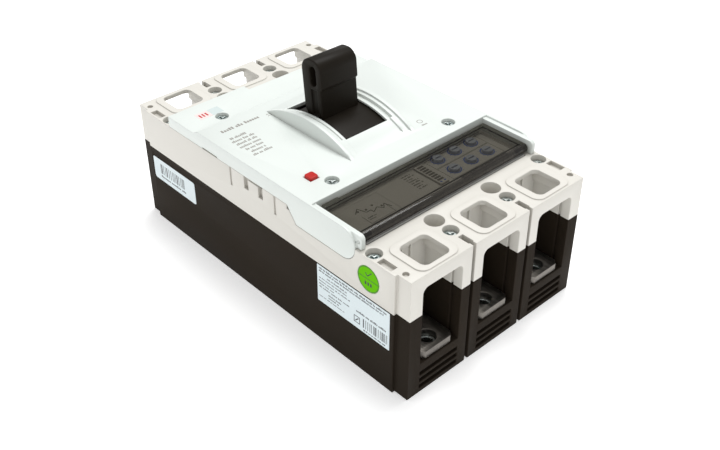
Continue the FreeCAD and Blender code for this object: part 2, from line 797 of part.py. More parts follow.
def make_front_cover():
    body = new_body("front_profile")
    ramp_end = "ramp_start + 4"
    corners = [("cheek_near", "cheek_low"), ("cheek_far", "cheek_low"),
               ("cheek_far + cheek_slope", "cover_top"), ("plate_far", "cover_top"),
               ("plate_far", "plate_top - plate_drop"), (ramp_end, "plate_top - plate_drop"),
               ("ramp_start", "plate_top"), ("cheek_near", "plate_top")]
    pad(body, outline(body, "YZ_Plane", corners), "body_width", middle=True)
    near_end = number("cheek_near")
    round_edges(body, "cheek_round", lambda edge, middle: along_x(edge) and abs(middle.y - near_end) < 0.1)
    roof = "plate_top - cover_wall"
    between_cheeks = about("0", "body_width / 2 - cheek_thick")
    between_walls = about("0", "body_width / 2 - cover_wall")
    tools = [
        block(between_cheeks, ("cheek_near - 1", "plate_near"), ("cheek_low - 1", "plate_top + 1")),
        block(between_cheeks, ("plate_near + cover_wall", "plate_far - cover_wall"),
              ("cheek_low - 1", "cover_top + 1")),
        block(between_cheeks, ("plate_near - 1", "plate_near + cover_wall + 1"),
              ("cheek_low - 1", "cover_top")),
        block(between_walls, ("plate_near + cover_wall", "ramp_start"), ("cover_top", roof)),
        block(between_walls, ("ramp_start - 1", "plate_far - cover_wall"),
              ("cover_top", roof + " - plate_drop")),
        # the line-end edge is further in beside the two right-hand poles
        block(("notch_x", "body_width / 2 + 1"), ("plate_far - notch_depth", "plate_far + 1"),
              ("cover_top - 1", "plate_top + 1")),
    ]
    for across in SIDES:
        tools.append(side_groove(across, ("pry_near", "pry_far"), ("cover_top - 1", "cover_top + 0.8"),
                                 "pry_depth"))
    shell = cut(body, tools)
    notch_y = "plate_far - notch_depth"
    far_wall = block(("notch_x - cover_wall", HALF_X), (notch_y + " - cover_wall", notch_y),
                     ("cover_top", "plate_top - plate_drop"))
    arch = common(bar_x("arch_half", "arch_y", "arch_z", "arch_radius"),
                  around_arch(roof))
    bosses = [rod("z", (x, y, "cover_top"), "front_boss", "plate_top - plate_drop - cover_top")
              for x, y in front_screw_spots()]
    step = block(about("0", "body_width / 2 - cheek_thick + ear_thick"), ("cheek_near - 1", "plate_near"),
                 ("cover_top", "plate_top + 1"))
    ears = [window_ear(across) for across in SIDES]
    whole = fuse([cut(shell, [step]), far_wall, arch] + ears + bosses)
    tools = [
        # stepped top of the bezel: outer rail, then a strip, then the lip round the window
        bezel_step("arch_half - arch_rail", "arch_step"),
        bezel_step("window_half + lip_width", "arch_lip"),
        # hollow for the shutter
        common(bar_x("shutter_half + 1.4", "pivot_y", "pivot_z", "shutter_radius + 0.5"),
               around_arch("plate_top - 6")),
        common(bar_x("arch_half - cover_wall", "arch_y", "arch_z", "arch_radius - 2 * cover_wall"),
               block(("-40", "40"), ("hollow_near", "hollow_far"), ("plate_top - 6", "plate_top + 20"))),
        block(about("0", "window_half"), ("window_near", "window_far"),
              ("plate_top - 10", "plate_top + 20")),
        block(about("button_x", "button_side / 2 + 0.3"), about("button_y", "button_side / 2 + 0.3"),
              ("cover_top", "plate_top + 1")),
    ]
    over_window = block(("-40", "40"), ("window_near", "window_far"), ("plate_top", "plate_top + 20"))
    for across in SIDES:
        # a narrow groove beside the lip of the window
        groove = about("%d * (window_half + lip_width + 1)" % across, "1")[0]
        ring = cut(rod("x", (groove, "arch_y", "arch_z"), "arch_radius + 2", "2"),
                   [rod("x", (groove + " - 1", "arch_y", "arch_z"), "arch_radius - arch_lip - 0.8", "4")])
        tools.append(common(ring, over_window))
        # bearing holes for the window pins
        pin_start = "body_width / 2 - cheek_thick - 1" if across > 0 else "-body_width / 2 + 1.4"
        tools.append(rod("x", (pin_start, "window_pin_y", "window_pin_z"), "window_pin + fine_fit",
                         "cheek_thick - 0.4"))
    for x, y in front_screw_spots():
        top = "plate_top" if y == "front_screw_near" else "plate_top - plate_drop"
        tools.append(rod("z", (x, y, top + " - front_recess_depth"), "front_recess / 2", "10"))
        tools.append(rod("z", (x, y, "cover_top - 1"), SHANK_BORE, "12"))
    return node("front_cover", cut(whole, tools))


# ---------------------------------------------------------------- screws and labels

def screw(x, y, seat, head, shank_length):
    """Cross-recessed screw whose head rests at a given height."""
    solid = fuse([rod("z", (x, y, seat), "(%s) / 2" % head, "head_height"),
                  rod("z", (x, y, "%s - %s" % (seat, shank_length)), "screw_shank / 2", shank_length)])
    zs = (seat + " + cross_floor", seat + " + head_height + 1")
    long_half, short_half = "cross_length / 2", "cross_width / 2"
    return cut(solid, [block(about(x, long_half), about(y, short_half), zs),
                       block(about(x, short_half), about(y, long_half), zs)])


def make_screws():
    made = [screw(x, y, "cover_top - screw_seat", "screw_head", "screw_length")
            for x, y in cover_screw_spots()]
    node("cover_screws", group(made))
    made = []
    for x, y in front_screw_spots():
        top = "plate_top" if y == "front_screw_near" else "plate_top - plate_drop"
        made.append(screw(x, y, top + " - front_recess_depth", "front_recess - 0.6",
                          "front_screw_length"))
    node("front_cover_screws", group(made))


def make_labels():
    skin = ("-body_width / 2 + 0.08", "-body_width / 2 + %s" % LABEL_DEPTH)
    for name, recess in (("rating_label", RATING_YZ), ("code_label", CODE_YZ)):
        ys, zs = [(low + " + 0.2", high + " - 0.2") for low, high in recess]
        node(name, block(skin, ys, zs))
    sticker_y, sticker_z, sticker_radius = STICKER
    node("inspection_sticker", rod("x", (skin[0], sticker_y, sticker_z), sticker_radius + " - 0.2",
                                   "%s - 0.08" % LABEL_DEPTH))


# ---------------------------------------------------------------- handle

def on_handle(obj):
    """Put a piece made about the pivot into its leaning place."""
    turn(obj, (1, 0, 0), "-handle_lean")
    place(obj, "0", "pivot_y", "pivot_z")
    return obj


def sector(half, outer, inner, start, end):
    """Part of a ring about the pivot; angles are from the handle towards the line end."""
    solid = rod("x", ("-(%s)" % half, "0", "0"), outer, "2 * (%s)" % half)
    hollow = cut(solid, [bar_x("(%s) + 1" % half, "0", "0", inner)])
    body = new_body("sector")
    turns = (start, "(%s + %s) / 2" % (start, end), end)
    corners = [("0", "0")] + [("100 * sin(%s)" % angle, "100 * cos(%s)" % angle) for angle in turns]
    pad(body, outline(body, "YZ_Plane", corners), "2 * (%s) + 4" % half, middle=True)
    return common(hollow, body)


def make_handle():
    body = new_body("handle")
    corners = [("-stem_near", "neck_low"), ("stem_near", "neck_low"), ("stem_near", "shutter_radius + 1"),
               ("head_half", "shutter_radius + 3"), ("head_half", "handle_reach"),
               ("-head_half", "handle_reach"), ("-head_half", "head_low + 1.4"), ("-stem_near", "head_low")]
    pad(body, outline(body, "YZ_Plane", corners), "handle_width", middle=True)
    top = number("handle_reach")
    round_edges(body, "head_half - 1.5", lambda edge, middle: along_x(edge) and abs(middle.z - top) < 0.1)
    # round-ended slot in each end of the head for the extension rod, and a shallow groove below it
    for low, high, depth in (("grip_slot_low", "grip_slot_high", "grip_slot_depth"),
                             ("shutter_radius + 1", "grip_groove_high", "grip_groove_depth")):
        slot = [("grip_slot_near", low), ("grip_slot_far", low),
                ("grip_slot_far", high), ("grip_slot_near", high)]
        for start in ("handle_width / 2 - " + depth, "-handle_width / 2 - 4"):
            pocket(body, outline(body, "YZ_Plane", slot, start), depth + " + 4", reverse=True)
    slot_low = number("grip_slot_low - 0.1")
    round_edges(body, "(grip_slot_far - grip_slot_near) / 2 - 0.1",
                lambda edge, middle: along_x(edge) and abs(middle.x) > 5 and middle.z > slot_low)
    doc.recompute()
    node("handle", on_handle(body))

    hole = block(about("0", "handle_width / 2 + 0.02"), about("0", "stem_near + 0.02"),
                 ("shutter_radius - 12", "shutter_radius + 5"))
    inside = "shutter_radius - shutter_thick"
    front = sector("shutter_half", "shutter_radius", inside, "shutter_near", "shutter_far")
    node("handle_shutter", on_handle(cut(front, [hole])))
    rear = sector("shutter_half", inside + " - 0.02", inside + " - rear_thick", "rear_start", "rear_end")
    node("rear_shutter", on_handle(rear))

    legs = []
    for across in SIDES:
        low, high = ("leg_inner", "leg_inner + plate_thick")
        if across < 0:
            low, high = ("-leg_inner - plate_thick", "-leg_inner")
        legs.append(block((low, high), about("0", "leg_half"), ("0", "neck_low")))
        legs.append(rod("x", (low, "0", "0"), "leg_half", "plate_thick"))
    bridge = block(about("0", "leg_inner + plate_thick"), about("0", "leg_half + 1"),
                   ("neck_low - plate_thick", "neck_low"))
    yoke = cut(fuse(legs + [bridge]), [bar_x("20", "0", "0", "2.55")])
    node("handle_yoke", on_handle(yoke))

    hook_z = "neck_low - plate_thick - spring_height - 0.4"
    springs = [coil("%d * spring_half" % across, "0", hook_z, "2.3", "0.7", "2.6", "spring_height")
               for across in SIDES]
    node("main_springs", on_handle(group(springs)))


def coil(x, y, z, radius, wire, pitch, height):
    """Helical spring standing along Z, made of a round wire."""
    helix = doc.addObject("Part::Helix", "helix")
    helix.setExpression("Radius", bound(radius))
    helix.setExpression("Pitch", bound(pitch))
    helix.setExpression("Height", bound("%s - %s" % (height, wire)))
    ring = doc.addObject("Part::Circle", "wire_section")
    ring.setExpression("Radius", bound("%s / 2" % wire))
    turn(ring, (1, 0, 0), "90")
    place(ring, radius)
    sweep = doc.addObject("Part::Sweep", "coil")
    sweep.Sections = [ring]
    doc.recompute()
    sweep.Spine = (helix, [])
    sweep.Solid = True
    sweep.Frenet = True
    place(sweep, x, y, "%s + %s / 2" % (z, wire))
    return sweep


# ---------------------------------------------------------------- trip button and trip unit

def make_button():
    half = "button_side / 2"
    body = new_body("trip_button")
    flange_top = "plate_top - cover_wall - 0.2"
    square = outline(body, "XY_Plane", rectangle(half, half), flange_top + " - 1")
    pad(body, square, "button_top - (%s) + 1" % flange_top)
    round_edges(body, "1.4", upright)
    doc.recompute()
    top = number("button_top")
    round_edges(body, "0.5", lambda edge, middle: abs(middle.z - top) < 0.01)
    flange = rectangle("flange_half", "flange_half")
    pad(body, outline(body, "XY_Plane", flange, flange_top + " - 1.5"), "1.5")
    stem = round_hole(body, "XY_Plane", "0", "0", "button_stem", "stem_low")
    pad(body, stem, flange_top + " - stem_low - 1")
    place(body, "button_x", "button_y")
    node("trip_button", body)
    spring = coil("button_x", "button_y", "deck_top + fit", "coil_radius", "0.6", "2.2", "coil_height")
    node("button_spring", spring)


def dial_spots():
    return [("dial_x + %d * dial_pitch_x" % column, "dial_y + %d * dial_pitch_y / 2" % row)
            for row in (1, -1) for column in (-1, 0, 1)]


def make_trip_unit():
    unit_x = ("-unit_half", "unit_half")
    unit_y = ("unit_near", "unit_far")
    outer = block(unit_x, unit_y, ("unit_low", "face_low"))
    inner = block(about("0", "unit_half - 2"), ("unit_near + 2", "unit_far - 2"),
                  ("unit_low + 2", "face_low + 1"))
    node("trip_unit_housing", cut(outer, [inner]))

    board_top = "board_low + board_thick"
    board = block(about("0", "unit_half - 2.5"), ("unit_near + 2.5", "unit_far - 2.5"),
                  ("board_low", board_top))
    chips = [block(about(x, "9"), ("-78", "-60"), (board_top, board_top + " + 2.4")) for x in ("-49", "-21")]
    node("trip_unit_board", fuse([board] + chips))

    face = block(unit_x, unit_y, ("face_low", "face_top"))
    tools = [rod("z", (x, y, "face_low - 1"), "dial_radius + fit", "5") for x, y in dial_spots()]
    tools.append(block(about("block_x", "block_half_x + 0.2"), about("block_y", "block_half_y + 0.2"),
                       ("face_low - 1", "face_top + 1")))
    tools.append(block(about("curve_x", "curve_half"), about("curve_y", "curve_half_y"),
                       ("face_top - curve_depth", "face_top + 1")))
    node("trip_unit_face", cut(face, tools))
    node("indicator_block", block(about("block_x", "block_half_x"), about("block_y", "block_half_y"),
                                  ("face_low - 2", "face_top + block_rise")))

    for count, (x, y) in enumerate(dial_spots(), start=1):
        body = new_body("dial")
        knob_low = "face_low + fit"
        shaft_low = "board_low + board_thick + 0.2"
        knob = round_hole(body, "XY_Plane", "0", "0", "dial_radius", knob_low)
        pad(body, knob, "dial_top - (%s)" % knob_low)
        shaft = round_hole(body, "XY_Plane", "0", "0", "dial_shaft", shaft_low)
        pad(body, shaft, "%s - (%s)" % (knob_low, shaft_low))
        pocket(body, outline(body, "XY_Plane", rectangle("(dial_radius - 0.9)", "0.5"), "dial_top"), "1.1")
        place(body, x, y)
        node("dial_%d" % count, body)

    make_window()


def make_window():
    """Smoked cover over the face, turning on two pins near the load end."""
    sheet_top = "window_pin_z + window_barrel"
    sheet_part = block(("-cover_half", "cover_half"), ("window_pin_y", "plate_near - 1.2"),
                       (sheet_top + " - window_sheet", sheet_top))
    barrel = bar_x("cover_half", "window_pin_y", "window_pin_z", "window_barrel")
    lug = block(("-cover_half + 2", "-cover_half + 14"), ("plate_near - 4.2", "plate_near - 1.2"),
                (sheet_top + " - 0.2", sheet_top + " + 0.9"))
    bores = []
    for across in SIDES:
        start = "cover_half - 8" if across > 0 else "-cover_half - 1"
        bores.append(rod("x", (start, "window_pin_y", "window_pin_z"), "window_pin + fine_fit", "9"))
    node("trip_window", cut(fuse([sheet_part, barrel, lug]), bores))
    pins = []
    for across in SIDES:
        start = "cover_half - 7.5" if across > 0 else "-body_width / 2 + 1.6"
        pins.append(rod("x", (start, "window_pin_y", "window_pin_z"), "window_pin",
                        "body_width / 2 - 1.6 - cover_half + 7.5"))
    node("window_pins", group(pins))


# ---------------------------------------------------------------- conductors and contacts

def conductor(side, pole):
    """Flat copper bar from a terminal pad to the inside of one pole."""
    body = new_body("conductor")
    low, high = "pocket_floor", "pocket_floor + bar_thick"
    pad_end = HALF_Y + " - 1"
    if side > 0:
        # the line bar steps down behind the wall and runs under the contacts
        line_high = "line_low + bar_thick"
        corners = [("line_inner", "line_low"), ("77", "line_low"), ("82", low), (pad_end, low),
                   (pad_end, high), ("78.5", high), ("73.5", line_high), ("line_inner", line_high)]
    else:
        corners = [("-(%s)" % pad_end, low), ("-load_inner", low), ("-load_inner", high),
                   ("-(%s)" % pad_end, high)]
    pad(body, outline(body, "YZ_Plane", corners), "bar_width", middle=True)
    half = "pad_width / 2"
    inner, outer = HALF_Y + " - pocket_depth + 0.5", pad_end
    plan = [("-" + half, at_y(side, inner)), (half, at_y(side, inner)), (half, at_y(side, outer + " - 3")),
            (half + " - 3", at_y(side, outer)), ("-" + half + " + 3", at_y(side, outer)),
            ("-" + half, at_y(side, outer + " - 3"))]
    pad(body, outline(body, "XY_Plane", plan, low), "bar_thick")
    stud_hole = round_hole(body, "XY_Plane", "0", at_y(side, "stud_y"), "stud_bore / 2", high + " + 1")
    pocket(body, stud_hole, "bar_thick + 2")
    place(body, pole_x(pole))
    return body


def make_conductors():
    for count, pole in enumerate(POLES, start=1):
        node("line_terminal_%d" % count, conductor(1, pole))
        node("load_terminal_%d" % count, conductor(-1, pole))
    nuts = []
    for side in SIDES:
        for pole in POLES:
            shape = block(about(pole_x(pole), "nut_flats / 2"), about(at_y(side, "stud_y"), "nut_flats / 2"),
                          ("pocket_floor - nut_height + fine_fit", "pocket_floor"))
            bore = rod("z", (pole_x(pole), at_y(side, "stud_y"), "0"), "4.25", "pocket_floor + 1")
            nuts.append(cut(shape, [bore]))
    node("terminal_nuts", group(nuts))
    seat = "line_low + bar_thick"
    tips = [rod("z", (pole_x(pole), "contact_y", seat), "contact_radius", "contact_thick") for pole in POLES]
    node("fixed_contacts", group(tips))
    for count, pole in enumerate(POLES, start=1):
        core = block(about(pole_x(pole), "transformer_half"), ("transformer_near", "transformer_far"),
                     ("chamber_floor", "transformer_top"))
        eye = block(about(pole_x(pole), "bar_width / 2 + 0.3"),
                    ("transformer_near - 1", "transformer_far + 1"),
                    ("pocket_floor - 0.3", "pocket_floor + bar_thick + 0.3"))
        node("current_transformer_%d" % count, cut(core, [eye]))


def make_arc_chutes():
    """Side plates with a stack of notched splitter plates, one chute for each pole."""
    for count, pole in enumerate(POLES, start=1):
        middle = pole_x(pole)
        ys = ("cross_y + arm_reach + 2.5", "chute_far")
        parts = []
        for across in SIDES:
            parts.append(block(about("%s + %d * chute_side_x" % (middle, across), "1"), ys,
                               ("chute_low", "chute_high")))
        for step in range(9):
            low = "chute_low + 3 + %d * chute_pitch" % step
            parts.append(block(about(middle, "chute_side_x - 0.5"), ys, (low, low + " + chute_plate")))
        notch = block(about(middle, "notch_half"), ("50", "notch_far"), ("chute_low - 1", "chute_high + 1"))
        node("arc_chute_%d" % count, cut(fuse(parts), [notch]))


# ---------------------------------------------------------------- crossbar and moving contacts

def on_crossbar(obj, x="0"):
    """Put a piece made about the crossbar axis, contacts closed, into the open position."""
    turn(obj, (1, 0, 0), "open_angle")
    place(obj, x, "cross_y", "cross_z")
    return obj


def make_crossbar():
    lugs = []
    for across in SIDES:
        xs = about("%d * 5" % across, "1.2")
        lugs.append(rod("x", (xs[0], "link_pin_y", "link_pin_z"), "4", "2.4"))
        lugs.append(block(xs, ("3", "link_pin_y + 2.5"), ("4", "link_pin_z")))
    bar = fuse([bar_x("69", "0", "0", "cross_radius")] + lugs)
    slots = [block(about(pole_x(pole), "arm_width / 2"), ("-8", "20"), ("-3.5", "arm_high"))
             for pole in POLES]
    node("crossbar", on_crossbar(cut(bar, slots + [bar_x("9", "link_pin_y", "link_pin_z", "2")])))
    node("link_pin", on_crossbar(group([bar_x("8.6", "link_pin_y", "link_pin_z", "2")])))
    tips = []
    for count, pole in enumerate(POLES, start=1):
        body = new_body("arm")
        corners = [("-7.9", "-3.4"), ("12", "-3.4"), ("22", "arm_low"), ("arm_reach", "arm_low"),
                   ("arm_reach", "arm_high - 2"), ("arm_reach - 4", "arm_high - 0.1"),
                   ("-7.9", "arm_high - 0.1")]
        pad(body, outline(body, "YZ_Plane", corners), "arm_width - 0.1", middle=True)
        node("contact_arm_%d" % count, on_crossbar(body, pole_x(pole)))
        tips.append(rod("z", (pole_x(pole), "contact_y - cross_y", "arm_low - contact_thick"),
                        "contact_radius", "contact_thick"))
    node("moving_contacts", on_crossbar(group(tips)))


# ---------------------------------------------------------------- operating mechanism

def plates(inner, thick, corners, bores, rounds=()):
    """A pair of like plates, one on each side of the middle pole; bores are (y, z, radius)."""
    pair = []
    for across in SIDES:
        low = inner if across > 0 else "-(%s) - (%s)" % (inner, thick)
        body = new_body("plate")
        pad(body, outline(body, "YZ_Plane", corners), thick)
        place(body, low)
        solid = fuse([body] + [rod("x", (low, y, z), radius, thick) for y, z, radius in rounds])
        drills = [rod("x", (low + " - 1", y, z), radius, thick + " + 2") for y, z, radius in bores]
        pair.append(cut(solid, drills))
    return pair


def make_mechanism():
    cradle_hole = ("cradle_y", "cradle_z", "2.05")
    frame = [("24", "chamber_floor"), ("44", "chamber_floor"), ("44", "deck_top"), ("-7", "deck_top"),
             ("-7", "46"), ("1", "41"), ("1", "31.5"), ("13", "28.5"), ("24", "32")]
    pair = plates("frame_inner", "plate_thick", frame, [("pivot_y", "pivot_z", "2.5"), cradle_hole])
    spacer = bar_x("frame_inner", "40", "70", "2")
    node("mechanism_frames", fuse(pair + [spacer]))

    pins = [bar_x("frame_inner + plate_thick + 0.8", "cradle_y", "cradle_z", "2")]
    for across in SIDES:
        low = "leg_inner - 0.8" if across > 0 else "-frame_inner - plate_thick - 0.8"
        pins.append(rod("x", (low, "pivot_y", "pivot_z"), "2.5",
                        "frame_inner + plate_thick - leg_inner + 1.6"))
    node("mechanism_pins", group(pins))

    arm = [("-8.5", "61"), ("cradle_y", "cradle_z - 4"), ("cradle_y", "cradle_z + 4"),
           ("2", "66"), ("-8.5", "65")]
    node("cradle", group(plates("cradle_inner", "plate_thick", arm, [cradle_hole],
                                [("cradle_y", "cradle_z", "4")])))

    # link pin, counted from the crossbar in its open position
    pin_y = "cross_y + link_pin_y * cos(open_angle) - link_pin_z * sin(open_angle)"
    pin_z = "cross_z + link_pin_y * sin(open_angle) + link_pin_z * cos(open_angle)"
    link_top = pin_z + " + link_length"
    near, far = about(pin_y, "3.5")
    link = [(near, pin_z), (far, pin_z), (far, link_top), (near, link_top)]
    ends = [(pin_y, pin_z, "3.5"), (pin_y, link_top, "3.5")]
    pair = plates("6.5", "plate_thick", link, [(pin_y, pin_z, "2.05")], ends)
    toggle_pin = bar_x("6.5", pin_y, link_top, "2")
    node("toggle_links", fuse(pair + [toggle_pin]))


def make_trip_bar():
    shaft = bar_x("trip_bar_half", "trip_bar_y", "trip_bar_z", "trip_bar_radius")
    lever_x = about("button_x", "lever_half")
    lever = block(lever_x, ("button_y - 2", "trip_bar_y"), ("lever_top - lever_thick", "lever_top"))
    riser = block(lever_x, about("trip_bar_y", "2"), ("trip_bar_z", "lever_top"))
    paddle = block(about("pole_pitch", "4"), about("trip_bar_y", "1.2"), ("50", "trip_bar_z"))
    node("trip_bar", fuse([shaft, lever, riser, paddle]))

    case = block(about("pole_pitch", "flux_half"), ("flux_near", "flux_far"), ("flux_low", "deck_under"))
    bore = rod("y", ("pole_pitch", "plunger_start - 4", "flux_z"), "plunger_radius + fine_fit", "20")
    node("flux_actuator", cut(case, [bore]))
    node("flux_plunger", rod("y", ("pole_pitch", "plunger_start", "flux_z"), "plunger_radius",
                             "plunger_length"))


def make_braids():
    """Flexible copper braids that lead from the load bars to the moving arms."""
    braids = []
    for pole in POLES:
        top = "pocket_floor + bar_thick"
        body = new_body("braid")
        corners = [("-38", top), ("-27", top), ("-17", top + " + 1"), ("-17", top + " + 5"),
                   ("-26", top + " + 6"), ("-38", top + " + 4")]
        pad(body, outline(body, "YZ_Plane", corners), "braid_width", middle=True)
        place(body, pole_x(pole))
        braids.append(body)
    node("flexible_braids", group(braids))


# ---------------------------------------------------------------- run

make_base()
make_back_plate()
make_mid_cover()
make_front_cover()
make_screws()
make_labels()
make_handle()
make_button()
make_trip_unit()
make_conductors()
make_arc_chutes()
make_crossbar()
make_mechanism()
make_trip_bar()
make_braids()

doc.recompute()
for obj in doc.Objects:
    if "Invalid" in obj.State or "Error" in obj.State:
        raise ValueError("%s (%s) failed: %s" % (obj.Name, obj.Label, obj.State))
os.makedirs("parts", exist_ok=True)
for part in nodes:
    if part.Shape.isNull() or not part.Shape.isValid():
        raise ValueError("%s has no valid shape" % part.Label)
for part in nodes:
    part.Shape.exportStep("parts/%s.step" % part.Label)
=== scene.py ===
"""Looks of a three-pole molded case breaker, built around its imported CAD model.

Metres, in the row frame: +X across the poles, +Y towards the line end, +Z out of the front.
Sizes below are in millimetres and are turned into metres by MM.
"""

import json
import math
import random

import bmesh
import bpy
from mathutils import Matrix, Vector

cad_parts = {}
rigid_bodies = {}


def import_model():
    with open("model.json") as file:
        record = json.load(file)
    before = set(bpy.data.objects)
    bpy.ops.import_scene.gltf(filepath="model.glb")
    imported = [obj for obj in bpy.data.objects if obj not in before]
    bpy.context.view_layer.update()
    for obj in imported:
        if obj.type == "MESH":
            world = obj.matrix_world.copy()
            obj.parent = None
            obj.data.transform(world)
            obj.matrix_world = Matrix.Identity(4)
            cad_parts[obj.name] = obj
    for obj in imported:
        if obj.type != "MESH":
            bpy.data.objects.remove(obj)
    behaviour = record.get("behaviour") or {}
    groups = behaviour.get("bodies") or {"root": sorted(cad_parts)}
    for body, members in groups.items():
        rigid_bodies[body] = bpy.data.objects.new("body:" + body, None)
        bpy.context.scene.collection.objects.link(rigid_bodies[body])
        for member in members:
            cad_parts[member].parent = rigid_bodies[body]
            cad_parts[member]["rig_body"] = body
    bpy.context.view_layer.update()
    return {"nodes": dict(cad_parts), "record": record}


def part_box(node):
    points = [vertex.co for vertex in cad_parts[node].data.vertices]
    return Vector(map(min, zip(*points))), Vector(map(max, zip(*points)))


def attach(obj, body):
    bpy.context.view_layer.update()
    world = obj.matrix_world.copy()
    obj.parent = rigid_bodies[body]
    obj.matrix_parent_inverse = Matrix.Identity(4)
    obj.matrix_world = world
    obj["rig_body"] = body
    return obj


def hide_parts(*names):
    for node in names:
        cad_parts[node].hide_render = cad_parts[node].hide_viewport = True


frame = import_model()
NODES = frame["nodes"]
MM = 0.001

PLATE_TOP = 95.0                # top of the front plate, as in the CAD
LEDGE_TOP = PLATE_TOP - 2.5     # its lower part at the line end
INK_SINK = 0.01                 # how far print goes into the surface, and stands over it
INK_RISE = 0.03
STICKER_RISE = 0.05

# scales of the noises, in waves per metre
MOULD_FLOW, MOULD_GRAIN = 38, 2600
DRAWN_LINES, TARNISH = 900, 120
FILM_RIPPLE, FILM_FIBRE = 160, 1800
INK_WEAR = 1400
SHEET_HAZE = 90
PAPER_TONE = 3

# reach and strength of the painted shade in corners and hollows
CORNER_SHADE_REACH = 6 * MM
CORNER_SHADE_AMOUNT = 0.7
SHADER_SAMPLES = 6

# ---------------------------------------------------------------- colours, linear

BASE_BROWN = (0.0240, 0.0180, 0.0125)
COVER_GREY = (0.72, 0.70, 0.645)
PLATE_WHITE = (0.750, 0.795, 0.762)
HANDLE_BLACK = (0.0130, 0.0102, 0.0070)
BUTTON_RED = (0.50, 0.020, 0.016)
PANEL_GREY = (0.480, 0.475, 0.455)
DIAL_BLUE = (0.38, 0.42, 0.50)
LABEL_PALE = (0.74, 0.825, 0.85)
STICKER_GREEN = (0.140, 0.52, 0.012)
PRINT_GREY = (0.045, 0.050, 0.055)
PRINT_PALE = (0.30, 0.285, 0.26)
PRINT_DARK = (0.016, 0.018, 0.016)
PRINT_PANEL = (0.085, 0.080, 0.072)
PRINT_SCALE = (0.050, 0.105, 0.34)
PRINT_RED = (0.50, 0.03, 0.03)
FOIL_PALE = (0.62, 0.70, 0.69)
FOIL_PINK = (0.86, 0.72, 0.70)
BORDER_BLACK = (0.006, 0.006, 0.006)
SMOKE_BROWN = (0.030, 0.026, 0.023)
# colours of the painted shade in corners of the cover and the plate
COVER_CORNER_SHADE = (0.40, 0.38, 0.34)
PLATE_CORNER_SHADE = (0.58, 0.60, 0.57)
ZINC_TINT = (0.30, 0.46, 0.47)
THIN_TINT = (0.74, 0.73, 0.70)
THICK_TINT = (0.34, 0.33, 0.31)
ZINC = (0.58, 0.62, 0.61)
TIN = (0.22, 0.205, 0.185)
COPPER = (0.72, 0.36, 0.22)
STEEL = (0.50, 0.49, 0.46)
CHUTE_STEEL = (0.34, 0.30, 0.26)
SILVER = (0.78, 0.77, 0.74)
BOARD_GREEN = (0.012, 0.12, 0.045)
RESIN = (0.030, 0.030, 0.033)
FLOOR_WHITE = (0.93, 0.93, 0.93)


# ---------------------------------------------------------------- shader helpers

def new_material(name):
    """A node material with one Principled shader, and its tree."""
    made = bpy.data.materials.new(name)
    made.use_nodes = True
    return made, made.node_tree, made.node_tree.nodes["Principled BSDF"]


def coordinates(tree, stretch=(1, 1, 1)):
    """Object coordinates, in metres, stretched along the axes."""
    place = tree.nodes.new("ShaderNodeTexCoord")
    mapping = tree.nodes.new("ShaderNodeMapping")
    mapping.inputs["Scale"].default_value = stretch
    tree.links.new(place.outputs["Object"], mapping.inputs["Vector"])
    return mapping.outputs["Vector"]


def noise(tree, vector, scale, detail):
    """Value of a noise of a scale, with a number of finer layers."""
    made = tree.nodes.new("ShaderNodeTexNoise")
    made.inputs["Scale"].default_value = scale
    made.inputs["Detail"].default_value = detail
    tree.links.new(vector, made.inputs["Vector"])
    return made.outputs["Fac"]


def spread(tree, value, low, high, start=0.3, end=0.7):
    """A noise value spread over low to high."""
    made = tree.nodes.new("ShaderNodeMapRange")
    made.inputs["From Min"].default_value = start
    made.inputs["From Max"].default_value = end
    made.inputs["To Min"].default_value = low
    made.inputs["To Max"].default_value = high
    tree.links.new(value, made.inputs["Value"])
    return made.outputs["Result"]


def blend_colours(tree, value, first, second):
    """Colours mixed by a value; each is a triple or another colour output."""
    made = tree.nodes.new("ShaderNodeMix")
    made.data_type = "RGBA"
    tree.links.new(value, made.inputs["Factor"])
    for socket, colour in ((made.inputs[6], first), (made.inputs[7], second)):
        if isinstance(colour, tuple):
            socket.default_value = (*colour, 1)
        else:
            tree.links.new(colour, socket)
    return made.outputs[2]


def shade(colour, factor):
    """A colour made lighter or darker."""
    return tuple(min(1.0, channel * factor) for channel in colour)


def relief(tree, height, depth, strength, edge=0.0):
    """A bump normal of a depth in metres, over edges rounded by a radius in metres."""
    bump = tree.nodes.new("ShaderNodeBump")
    bump.inputs["Strength"].default_value = strength
    bump.inputs["Distance"].default_value = depth
    tree.links.new(height, bump.inputs["Height"])
    if edge:
        soft = tree.nodes.new("ShaderNodeBevel")
        soft.samples = SHADER_SAMPLES
        soft.inputs["Radius"].default_value = edge
        tree.links.new(soft.outputs["Normal"], bump.inputs["Normal"])
    return bump.outputs["Normal"]


def painted_corner_shade(tree, colour, corner_shade):
    """A colour darkened by painted shade in corners and hollows, taken from ambient occlusion."""
    hollow = tree.nodes.new("ShaderNodeAmbientOcclusion")
    hollow.samples = SHADER_SAMPLES
    hollow.inputs["Distance"].default_value = CORNER_SHADE_REACH
    deep = spread(tree, hollow.outputs["AO"], CORNER_SHADE_AMOUNT, 0.0, 0.35, 0.95)
    return blend_colours(tree, deep, colour, corner_shade)


# ---------------------------------------------------------------- materials

